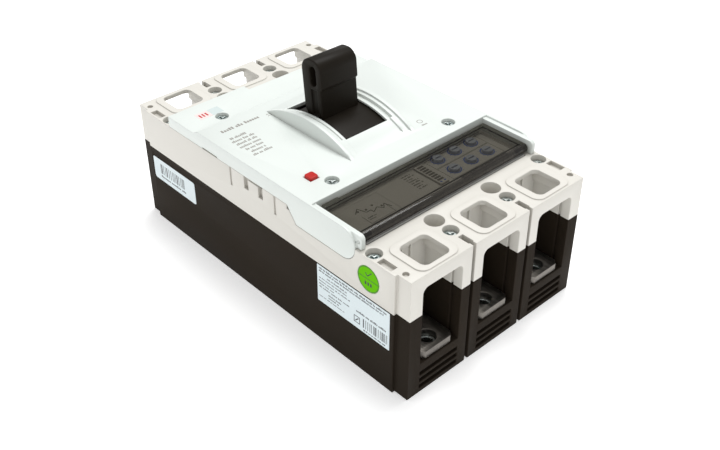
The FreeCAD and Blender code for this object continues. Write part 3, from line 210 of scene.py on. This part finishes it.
def moulded(name, colour, roughness, grain, mottle, edge, corner_shade=None, gloss=0.4):
    """Injection-moulded plastic: spark-eroded grain, slight flow marks, softened edges and, if a shade
    colour is given, painted shade in corners.

    The depth of the grain and the radius of the edges are in millimetres.
    """
    sheen_change = 0.05
    made, tree, shader = new_material(name)
    vector = coordinates(tree)
    flow = noise(tree, coordinates(tree, (1, 0.35, 1)), MOULD_FLOW, 3)
    pits = noise(tree, vector, MOULD_GRAIN, 2)
    dark, light = shade(colour, 1 - mottle), shade(colour, 1 + mottle)
    pale = blend_colours(tree, spread(tree, flow, 0, 1), dark, light)
    speck = blend_colours(tree, spread(tree, pits, 0, 0.5), pale, shade(colour, 1 - 2 * mottle))
    # painted shade: the colour darkens in corners and hollows
    if corner_shade:
        speck = painted_corner_shade(tree, speck, corner_shade)
    tree.links.new(speck, shader.inputs["Base Color"])
    sheen = spread(tree, flow, roughness - sheen_change, roughness + sheen_change)
    tree.links.new(sheen, shader.inputs["Roughness"])
    tree.links.new(relief(tree, pits, grain * MM, 0.7, edge * MM), shader.inputs["Normal"])
    shader.inputs["Specular IOR Level"].default_value = gloss
    return made


def metal(name, colour, roughness, scratch=(1, 1, 1), tint=None):
    """Plated or bare metal with drawn scratches, patches of tarnish and softened edges."""
    scratch_depth, edge = 0.02, 0.15
    made, tree, shader = new_material(name)
    lines = noise(tree, coordinates(tree, scratch), DRAWN_LINES, 5)
    patches = noise(tree, coordinates(tree), TARNISH, 4)
    base = blend_colours(tree, spread(tree, lines, 0, 1), shade(colour, 0.82), shade(colour, 1.12))
    stain = spread(tree, patches, 0, 0.6, 0.45, 0.75)
    stained = blend_colours(tree, stain, base, tint or shade(colour, 0.65))
    tree.links.new(stained, shader.inputs["Base Color"])
    sheen = spread(tree, lines, roughness - 0.08, roughness + 0.12)
    tree.links.new(sheen, shader.inputs["Roughness"])
    surface = relief(tree, lines, scratch_depth * MM, 0.35, edge * MM)
    tree.links.new(surface, shader.inputs["Normal"])
    shader.inputs["Metallic"].default_value = 1.0
    return made


def film(name, colour, roughness=0.38, gloss=0.15):
    """Printed label film with a faint ripple."""
    ripple_depth = 0.05
    made, tree, shader = new_material(name)
    ripple = noise(tree, coordinates(tree), FILM_RIPPLE, 2)
    fibre = noise(tree, coordinates(tree), FILM_FIBRE, 2)
    tone = blend_colours(tree, spread(tree, fibre, 0, 1), shade(colour, 0.96), shade(colour, 1.03))
    tree.links.new(tone, shader.inputs["Base Color"])
    sheen = spread(tree, ripple, roughness - 0.08, roughness + 0.08)
    tree.links.new(sheen, shader.inputs["Roughness"])
    tree.links.new(relief(tree, ripple, ripple_depth * MM, 0.5), shader.inputs["Normal"])
    shader.inputs["Specular IOR Level"].default_value = gloss
    return made


def ink(name, colour, roughness=0.5):
    """Screen-printed ink, uneven in density."""
    made, tree, shader = new_material(name)
    wear = noise(tree, coordinates(tree), INK_WEAR, 3)
    tone = blend_colours(tree, spread(tree, wear, 0, 1), shade(colour, 0.85), shade(colour, 1.25))
    tree.links.new(tone, shader.inputs["Base Color"])
    shader.inputs["Roughness"].default_value = roughness
    return made


def smoked(name, tint, solid):
    """Clear smoked sheet: tinted light goes through, and the surface reflects as plastic does.

    The solid share of the light meets the surface; the rest goes straight through.
    """
    made, tree, shader = new_material(name)
    haze = noise(tree, coordinates(tree), SHEET_HAZE, 3)
    shader.inputs["Base Color"].default_value = (*SMOKE_BROWN, 1)
    shader.inputs["IOR"].default_value = 1.49
    tree.links.new(spread(tree, haze, 0.07, 0.14), shader.inputs["Roughness"])
    through = tree.nodes.new("ShaderNodeBsdfTransparent")
    through.inputs["Color"].default_value = (*tint, 1)
    both = tree.nodes.new("ShaderNodeMixShader")
    both.inputs["Fac"].default_value = solid
    tree.links.new(through.outputs["BSDF"], both.inputs[1])
    tree.links.new(shader.outputs["BSDF"], both.inputs[2])
    tree.links.new(both.outputs["Shader"], tree.nodes["Material Output"].inputs["Surface"])
    return made


MATERIALS = {
    "base_plastic": moulded("base_moulding", BASE_BROWN, roughness=0.58, grain=0.05, mottle=0.12,
                            edge=0.45, gloss=0.04),
    # the cover and the plate get painted shade in their corners
    "cover_plastic": moulded("cover_moulding", COVER_GREY, roughness=0.42, grain=0.02, mottle=0.012,
                             edge=0.45, corner_shade=COVER_CORNER_SHADE),
    "plate_plastic": moulded("plate_moulding", PLATE_WHITE, roughness=0.36, grain=0.015, mottle=0.010,
                             edge=0.45, corner_shade=PLATE_CORNER_SHADE),
    "handle_plastic": moulded("handle_moulding", HANDLE_BLACK, roughness=0.45, grain=0.04, mottle=0.15,
                              edge=0.6, gloss=0.10),
    "red_plastic": moulded("button_moulding", BUTTON_RED, roughness=0.30, grain=0.01, mottle=0.04,
                           edge=0.3, gloss=0.3),
    "face_plastic": moulded("panel_moulding", PANEL_GREY, roughness=0.50, grain=0.006, mottle=0.05,
                            edge=0.2, gloss=0.2),
    "crossbar_resin": moulded("thermoset", shade(RESIN, 1.4), roughness=0.55, grain=0.05, mottle=0.15,
                              edge=0.3, gloss=0.2),
    "transformer_resin": moulded("cast_resin", RESIN, roughness=0.35, grain=0.02, mottle=0.12,
                                 edge=0.3, gloss=0.2),
    "dial_plastic": moulded("dial_moulding", DIAL_BLUE, roughness=0.34, grain=0.01, mottle=0.08,
                            edge=0.2, gloss=0.3),
    "board": moulded("board_laminate", BOARD_GREEN, roughness=0.35, grain=0.02, mottle=0.2, edge=0.1),
    "smoked_plastic": smoked("smoked_sheet", THIN_TINT, solid=0.12),
    "zinc_steel": metal("zinc_plate", ZINC, 0.30, (1, 1, 1), ZINC_TINT),
    "spring_steel": metal("spring_wire", STEEL, 0.28),
    "plate_steel": metal("pressed_steel", STEEL, 0.36, (1, 8, 8)),
    "tinned_copper": metal("tinned_bar", TIN, 0.42, (1, 0.1, 1)),
    "copper": metal("bare_copper", COPPER, 0.34, (1, 0.2, 1)),
    "chute_steel": metal("splitter_steel", CHUTE_STEEL, 0.42, (1, 6, 6)),
    "contact_alloy": metal("contact_silver", SILVER, 0.30),
    "label_film": film("label_film", LABEL_PALE),
    "green_film": film("sticker_film", STICKER_GREEN, 0.5, 0.0),
}
INK_GREY = ink("ink_grey", PRINT_GREY)
INK_PALE = ink("ink_pale", PRINT_PALE)
INK_DARK = ink("ink_dark", PRINT_DARK)
INK_PANEL = ink("ink_panel", PRINT_PANEL)
INK_SCALE = ink("ink_scale", PRINT_SCALE)
INK_RED = ink("ink_red", PRINT_RED)
INK_BORDER = ink("ink_border", BORDER_BLACK)
STICKER_SILVER = film("foil_pale", FOIL_PALE, 0.3)
STICKER_PINK = film("foil_pink", FOIL_PINK, 0.3)
SMOKED_THICK = smoked("smoked_barrel", THICK_TINT, solid=0.5)

SLOTS = {part["node"]: part["material_slot"] for part in frame["record"]["subparts"]}
for node_name, node in NODES.items():
    node.data.materials.clear()
    node.data.materials.append(MATERIALS[SLOTS[node_name]])


# ---------------------------------------------------------------- printed marks

def bar(left, low, right, high):
    """A printed rectangle."""
    return [(left, low), (right, low), (right, high), (left, high)]


def disc(across, up, radius, count):
    """A printed disc with a number of corners."""
    turns = [2 * math.pi * k / count for k in range(count)]
    return [(across + radius * math.cos(turn), up + radius * math.sin(turn)) for turn in turns]


def stroke(first, last, width):
    """A straight printed line between two points."""
    along = Vector(last) - Vector(first)
    side = Vector((-along.y, along.x)).normalized() * width / 2
    return [tuple(Vector(point) + side * way) for point, way in
            ((first, 1), (first, -1), (last, -1), (last, 1))]


def ring(across, up, radius, width, steps=32):
    """A printed ring, as short strokes; the radius is its inner one."""
    turns = [math.radians(360 * k / steps) for k in range(steps + 1)]
    found = []
    for one, two in zip(turns, turns[1:]):
        corners = [(radius, one), (radius + width, one), (radius + width, two), (radius, two)]
        found.append([(across + size * math.cos(turn), up + size * math.sin(turn))
                      for size, turn in corners])
    return found


def text_rows(left, top, widths, height, gap, rng, letter):
    """Rows of word-like marks: small blocks of uneven height, in words of random length."""
    ink_share, space_share = 0.72, 0.7
    letter_heights = (0.7, 0.7, 1)
    shortest, longest = 2, 7
    found = []
    for row, width in enumerate(widths):
        low = top - row * (height + gap) - height
        place = left
        while place < left + width:
            for _ in range(rng.randint(shortest, longest)):
                if place + letter > left + width:
                    break
                high = low + height * rng.choice(letter_heights)
                found.append(bar(place, low, place + letter * ink_share, high))
                place += letter
            place += letter * space_share
    return found


def frame_lines(left, low, right, high, width):
    """The outline of a rectangle, as four thin bars."""
    return [bar(left, low, right, low + width), bar(left, high - width, right, high),
            bar(left, low, left + width, high), bar(right - width, low, right, high)]


def rounded_bar(left, low, right, high, radius, steps=6):
    """A rectangle with round corners."""
    found = []
    corners = ((right, high, 0), (left, high, 90), (left, low, 180), (right, low, 270))
    for across, up, start in corners:
        middle_x = across - radius if across == right else across + radius
        middle_y = up - radius if up == high else up + radius
        for step in range(steps + 1):
            turn = math.radians(start + 90 * step / steps)
            found.append((middle_x + radius * math.cos(turn), middle_y + radius * math.sin(turn)))
    return found


def line_through(points, width):
    """A printed line with bends."""
    return [stroke(first, last, width) for first, last in zip(points, points[1:])]


def barcode(left, low, width, height, rng, thin):
    """Upright bars of random width that stand for no code; the thinnest is one unit wide."""
    found = []
    place = left
    while place < left + width:
        size = thin * rng.choice((1, 1, 1, 2))
        found.append(bar(place, low, min(place + size, left + width), low + height))
        place += size + thin * rng.choice((1, 2, 3))
    return found


def on_front(height):
    """The plane of a front surface at a height, read along +X with its lines going down towards -Y."""
    return Matrix.Translation((0, 0, height * MM))


def on_left(depth):
    """The plane of the long -X side, read towards -Y with +Z up."""
    turned = Matrix(((0, 0, -1), (-1, 0, 0), (0, 1, 0))).to_4x4()
    return Matrix.Translation((-depth * MM, 0, 0)) @ turned


def printed(name, plane, shapes, material, body="case", thick=INK_RISE):
    """Closed flat shapes, in millimetres on a plane, raised by a thickness of ink."""
    mesh = bmesh.new()
    for shape in shapes:
        low = [mesh.verts.new((u * MM, v * MM, -INK_SINK * MM)) for u, v in shape]
        high = [mesh.verts.new((u * MM, v * MM, thick * MM)) for u, v in shape]
        mesh.faces.new(high)
        mesh.faces.new(list(reversed(low)))
        for k in range(len(shape)):
            after = (k + 1) % len(shape)
            mesh.faces.new((low[k], low[after], high[after], high[k]))
    mesh.transform(plane)
    bmesh.ops.recalc_face_normals(mesh, faces=mesh.faces)
    data = bpy.data.meshes.new(name)
    mesh.to_mesh(data)
    mesh.free()
    made = bpy.data.objects.new(name, data)
    data.materials.append(material)
    bpy.context.scene.collection.objects.link(made)
    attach(made, body)
    return made


# ---------------------------------------------------------------- rounded copies of the CAD pieces

def body_of(name):
    """The moving body that carries a CAD node."""
    return NODES[name]["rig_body"]


def rounded(name, width):
    """A copy of a CAD node whose sharp edges are really rounded, which stands for it."""
    weld = 0.002 * MM
    flat_angle, sharp_angle = 0.5, 30
    made = NODES[name].copy()
    made.data = NODES[name].data.copy()
    made.name = name + "_rounded"
    made.parent = None
    for key in list(made.keys()):
        del made[key]
    bpy.context.scene.collection.objects.link(made)
    mesh = bmesh.new()
    mesh.from_mesh(made.data)
    bmesh.ops.remove_doubles(mesh, verts=mesh.verts, dist=weld)
    bmesh.ops.dissolve_limit(mesh, angle_limit=math.radians(flat_angle), verts=mesh.verts,
                             edges=mesh.edges)
    mesh.to_mesh(made.data)
    mesh.free()
    made.data.polygons.foreach_set("use_smooth", [True] * len(made.data.polygons))
    bevel = made.modifiers.new("edges", "BEVEL")
    bevel.width = width * MM
    bevel.segments = 3
    bevel.limit_method = "ANGLE"
    bevel.angle_limit = math.radians(sharp_angle)
    bevel.use_clamp_overlap = False
    bevel.harden_normals = True
    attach(made, body_of(name))
    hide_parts(name)
    return made


# radius of the edges of each rounded piece, in millimetres
ROUNDED_EDGES = {
    "handle": 0.7, "handle_shutter": 0.2, "rear_shutter": 0.2, "trip_button": 0.25,
    "cover_screws": 0.22, "front_cover_screws": 0.22, "terminal_nuts": 0.25,
    "trip_unit_face": 0.2, "indicator_block": 0.25, "trip_window": 0.35,
    "base": 0.3, "mid_cover": 0.3, "front_cover": 0.35,
}
for number in range(1, 7):
    ROUNDED_EDGES["dial_%d" % number] = 0.2
for number in range(1, 4):
    ROUNDED_EDGES["line_terminal_%d" % number] = 0.3
    ROUNDED_EDGES["load_terminal_%d" % number] = 0.3
for name, width in ROUNDED_EDGES.items():
    rounded(name, width)


# ---------------------------------------------------------------- what is printed on the breaker

def span(name, axis):
    """Low and high edge of a CAD node along an axis, in millimetres."""
    low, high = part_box(name)
    return low[axis] / MM, high[axis] / MM


def label_sheets():
    """The two labels with their corners cut round, in place of the plain sheets."""
    for name, radius in (("rating_label", 0.6), ("code_label", 1.8)):
        outside, inside = (-edge for edge in span(name, 0))
        near, far = span(name, 1)
        low, high = span(name, 2)
        sheet = [rounded_bar(-far, low, -near, high, radius)]
        made = printed(name + "_sheet", on_left(inside), sheet, MATERIALS["label_film"],
                       thick=outside - inside)
        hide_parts(name)


def label_face(name):
    """Outside of a label, and its left, right, low and high edge as read on the -X side."""
    near, far = span(name, 1)
    low, high = span(name, 2)
    return -span(name, 0)[0], -far, -near, low, high


def rating_print(rng):
    """Text, bar code and an empty approval box on the long label."""
    outside, left, right, low, high = label_face("rating_label")
    margin = 1.6
    left, right = left + margin, right - margin
    full = right - left
    rows = []
    # from the top left: inset, drop, widths of the rows, their height and gap, width of a letter
    for inset, drop, widths, height, gap, letter in (
            (0, 1.2, (full, full - 3), 1.25, 0.75, 0.85),
            (7, 6.0, (17,), 1.1, 0.6, 0.9),
            (0, 8.4, (24, 27, 13, 26), 0.85, 1.35, 0.9),
            (8, 17.6, (12, 10), 1.0, 1.0, 0.95),
            (0, 22.0, (22,), 0.7, 1.0, 0.8)):
        rows += text_rows(left + inset, high - drop, widths, height, gap, rng, letter)
    # from the bottom right: inset, rise, width, height of the row and width of a letter
    for inset, rise, width, height, letter in ((25, 13.2, 24.5, 1.4, 1.0), (19, 2.2, 18, 1.0, 0.7)):
        rows += text_rows(right - inset, low + rise, [width], height, 0, rng, letter)
    code_width, code_height = 19.5, 6.4
    rows += barcode(right - code_width, low + 3.4, code_width, code_height, rng, 0.42)
    box, box_low, box_size = right - 27, low + 3.6, 5
    rows += frame_lines(box, box_low, box + box_size, box_low + box_size, 0.5)
    rows.append(stroke((box + 1.2, box_low + 1.2), (box + 3.8, box_low + 3.8), 0.7))
    printed("rating_print", on_left(outside), rows, INK_GREY)


def code_print(rng):
    """Bar code with a row of digits under it, on the small label."""
    outside, left, right, low, _ = label_face("code_label")
    inset, width = 8, right - left - 19
    rows = barcode(left + inset, low + 6.0, width, 7.6, rng, 0.55)
    rows += text_rows(left + inset, low + 4.6, [width], 1.5, 0, rng, 1.6)
    printed("code_print", on_left(outside), rows, INK_GREY)


def sticker_print():
    """Rim, a line across, a tick and three bars on the round sticker."""
    outside, left, right, low, high = label_face("inspection_sticker")
    middle, level, radius = (left + right) / 2, (low + high) / 2, (high - low) / 2
    line_half = radius * 0.93
    marks = [stroke((middle - line_half, level), (middle + line_half, level), 0.32)]
    marks += ring(middle, level, radius - 0.5, 0.25)
    tick = [(middle - 2.4, level + 3.6), (middle - 0.7, level + 1.9), (middle + 2.6, level + 5.4)]
    marks += line_through(tick, 0.6)
    bar_width = 1.2
    for across in (-2.7, -0.6, 1.5):
        start = middle + across
        marks.append(bar(start, level - 4.4, start + bar_width, level - 2.2))
    printed("sticker_print", on_left(outside), marks, INK_DARK)


def plate_prints():
    """Text rows and switch marks on the front plate, and a plain sticker near the line end."""
    rng = random.Random(11)
    plate = on_front(PLATE_TOP)
    title = text_rows(-64, 48.2, [30], 3.0, 0, rng, 1.9)
    printed("title_print", plate, title, INK_PALE)
    # rows centred on one line
    text_middle, first_row, row_step = -58, 37.4, 4.0
    rows = []
    for line, width in enumerate((14, 17, 16, 17, 14, 12, 15)):
        row_top = first_row - row_step * line
        rows += text_rows(text_middle - width / 2, row_top, [width], 2.3, 0, rng, 1.25)
    printed("rating_text", plate, rows, INK_PALE)
    for name, level, width in (("fine_text_22", 45.6, 6.6), ("fine_text_15", 43.6, 4.5)):
        rows = text_rows(-30, level, [width], 0.8, 0, rng, 0.7)
        printed(name, plate, rows, INK_PALE)
    # off and on marks beside the handle, each with a word
    marks = ring(36, -27.5, 1.6, 0.45)
    marks += text_rows(33.6, -31.2, [5.2], 1.5, 0, rng, 0.9)
    marks.append(bar(35.7, 41.5, 36.3, 45.5))
    marks += text_rows(33.8, 39.6, [4.2], 1.5, 0, rng, 0.9)
    printed("switch_marks", plate, marks, INK_PALE)
    # plain two-colour sticker
    left, middle, right, low, high = -62, -52.5, -44, 71.5, 79.5
    ledge = on_front(LEDGE_TOP)
    printed("maker_sticker_left", ledge, [bar(left, low, middle, high)], STICKER_PINK,
            thick=STICKER_RISE)
    printed("maker_sticker_right", ledge, [bar(middle, low, right, high)], STICKER_SILVER,
            thick=STICKER_RISE)
    bar_width, bar_step, inset = 1.2, 2.4, 2
    bars = []
    for step in range(3):
        start = left + 1.5 + bar_step * step
        bars.append(bar(start, low + inset, start + bar_width, high - inset))
    printed("maker_sticker_print", on_front(LEDGE_TOP + STICKER_RISE), bars, INK_RED)


def dial_scale(x, y):
    """Ring and ticks round one dial; its pointer travels 135 degrees each way."""
    ring_radius, ring_width = 3.9, 0.9
    tick_start, tick_end, tick_width = 5.1, 5.8, 0.35
    first_tick, tick_step, ticks = -45, 27, 11
    found = ring(x, y, ring_radius, ring_width)
    centre = Vector((x, y))
    for step in range(ticks):
        turn = math.radians(first_tick + tick_step * step)
        away = Vector((math.cos(turn), math.sin(turn)))
        found.append(stroke(centre + away * tick_start, centre + away * tick_end, tick_width))
    return found


def curve_print(height, rng):
    """Tripping curve, its axes and its setting points, in the shallow recess of the panel."""
    curve = [(-52.5, -64), (-48.5, -60.5), (-46.5, -66.5), (-43, -66.5), (-43, -69), (-38.5, -66.5),
             (-36, -70), (-33, -66.5), (-31.5, -72)]
    left, right, low = -51.5, -33, -76.5
    marks = line_through(curve, 0.55)
    marks += line_through([(left, low), (right, low), (right, -68)], 0.3)
    marks += line_through([(left, low), (left, -68)], 0.3)
    for x, y in ((-50, -63), (-45, -64.5), (-39.5, -63.5), (-35.5, -67.5)):
        marks.append(disc(x, y, 0.8, 16))
    marks += text_rows(-50, -71, [7, 5], 0.9, 0.8, rng, 0.7)
    printed("curve_print", on_front(height), marks, INK_PANEL)


def face_prints():
    """Print on the trip unit's panel, round its dials and on its indicator block."""
    rng = random.Random(5)
    top = span("trip_unit_face", 2)[1]
    recess_depth = 0.4
    curve_print(top - recess_depth, rng)

    marks = text_rows(-8, -55.0, [7.5, 8.5, 6.5, 8.5, 7.5, 8.0, 6.0, 7.5], 1.15, 1.0, rng, 0.9)
    box_left, box_right = 14.6, 61
    marks += frame_lines(box_left, -63.2, box_right, -52.6, 0.3)
    marks += frame_lines(box_left, -77.4, box_right, -63.6, 0.3)
    marks.append(bar(19, -81.6, 60, -78.6))
    marks += frame_lines(-66, -87.6, 66, -52.2, 0.25)
    printed("panel_print", on_front(top), marks, INK_PANEL)
    words = text_rows(20.5, -79.4, [38], 1.3, 0, rng, 1.1)
    words += text_rows(54, -54.2, [6.5, 5], 0.9, 0.5, rng, 0.8)
    words += text_rows(16, -54.0, [5], 0.8, 0, rng, 0.7)
    printed("panel_words", on_front(top + INK_RISE), words, INK_PALE)

    scales = []
    for number in range(1, 7):
        x, y = (sum(span("dial_%d" % number, axis)) / 2 for axis in (0, 1))
        scales += dial_scale(x, y)
    printed("dial_scales", on_front(top), scales, INK_SCALE)

    block = on_front(span("indicator_block", 2)[1])
    near, far = span("indicator_block", 1)
    left, right = span("indicator_block", 0)
    edge, pitch, height = 1.0, 2.4, 1.7
    windows = []
    for step in range(8):
        low = far - 3.0 - pitch * step
        windows.append(bar(left + edge, low, right - edge, low + height))
    printed("indicator_windows", block, windows, INK_PANEL)
    middle = (left + right) / 2
    lamps = [disc(middle + across, near + 1.9, 0.75, 20) for across in (-1.6, 1.6)]
    printed("indicator_lamps", block, lamps, INK_SCALE)


def window_border():
    """Black border printed under the smoked sheet, wide beside the barrel, and its darker barrel."""
    half = span("trip_window", 0)[1]
    near, far = span("trip_window", 1)
    lug_rise, sheet_thick, below = 0.9, 2.4, 0.06
    sheet_low = span("trip_window", 2)[1] - lug_rise - sheet_thick
    inset, edge, wide, barrel = 0.4, 1.3, 1.2, near + 6.0
    left, right = -half + inset, half - inset
    marks = [bar(left, far - edge, right, far - 0.3), bar(left, barrel, right, barrel + wide)]
    for side in (left, right - edge):
        marks.append(bar(side, barrel + wide, side + edge, far - edge))
    printed("window_border", on_front(sheet_low - below), marks, INK_BORDER, body="window")
    barrel_width = 3.2
    sheet = bpy.data.objects["trip_window_rounded"]
    sheet.data.materials.append(SMOKED_THICK)
    for face in sheet.data.polygons:
        if face.center.y < (near + barrel_width) * MM:
            face.material_index = 1


label_sheets()
label_rng = random.Random(7)
rating_print(label_rng)
code_print(label_rng)
sticker_print()
plate_prints()
face_prints()
window_border()


# ---------------------------------------------------------------- stage, light and camera

def make_floor():
    """A pale paper floor that glows a little, so that its far parts stay as white as the near ones."""
    made, tree, shader = new_material("floor_paper")
    tone = spread(tree, noise(tree, coordinates(tree), PAPER_TONE, 2), 0, 1)
    paper = blend_colours(tree, tone, shade(FLOOR_WHITE, 0.99), FLOOR_WHITE)
    tree.links.new(paper, shader.inputs["Base Color"])
    shader.inputs["Roughness"].default_value = 0.9
    shader.inputs["Emission Color"].default_value = (1, 1, 1, 1)
    shader.inputs["Emission Strength"].default_value = 0.4
    bpy.ops.mesh.primitive_plane_add(size=12)
    floor = bpy.context.object
    floor.name = "floor"
    floor.data.materials.append(made)


def area_light(name, place, target, size, power):
    """A round lamp that faces a point."""
    light = bpy.data.lights.new(name, "AREA")
    light.shape = "DISK"
    light.size = size
    light.energy = power
    made = bpy.data.objects.new(name, light)
    made.location = place
    made.rotation_euler = (Vector(target) - Vector(place)).to_track_quat("-Z", "Y").to_euler()
    bpy.context.scene.collection.objects.link(made)


def make_light():
    """White surroundings, a soft key from above and a weak fill from the near left."""
    world = bpy.data.worlds.new("studio")
    world.use_nodes = True
    world.node_tree.nodes["Background"].inputs["Color"].default_value = (1, 1, 1, 1)
    world.node_tree.nodes["Background"].inputs["Strength"].default_value = 0.60
    bpy.context.scene.world = world
    middle = (0, 0, 0.05)
    area_light("key", (0.35, 0.15, 1.3), middle, size=0.8, power=12.5)
    area_light("fill", (-0.9, -0.9, 0.7), middle, size=1.0, power=1.2)


def make_camera():
    """The camera stands at the near left corner, a short way above the object."""
    lens = bpy.data.cameras.new("camera")
    lens.sensor_width = 36
    lens.lens = 48.3
    lens.shift_y = -0.035
    made = bpy.data.objects.new("camera", lens)
    made.location = (-0.352, -0.391, 0.402)
    turn = math.radians(42.8)
    fall = math.radians(34.7)
    look = Vector((math.sin(turn) * math.cos(fall), math.cos(turn) * math.cos(fall), -math.sin(fall)))
    made.rotation_euler = look.to_track_quat("-Z", "Y").to_euler()
    bpy.context.scene.collection.objects.link(made)
    bpy.context.scene.camera = made
    bpy.context.scene.view_settings.view_transform = "Standard"


make_camera()
make_light()
make_floor()
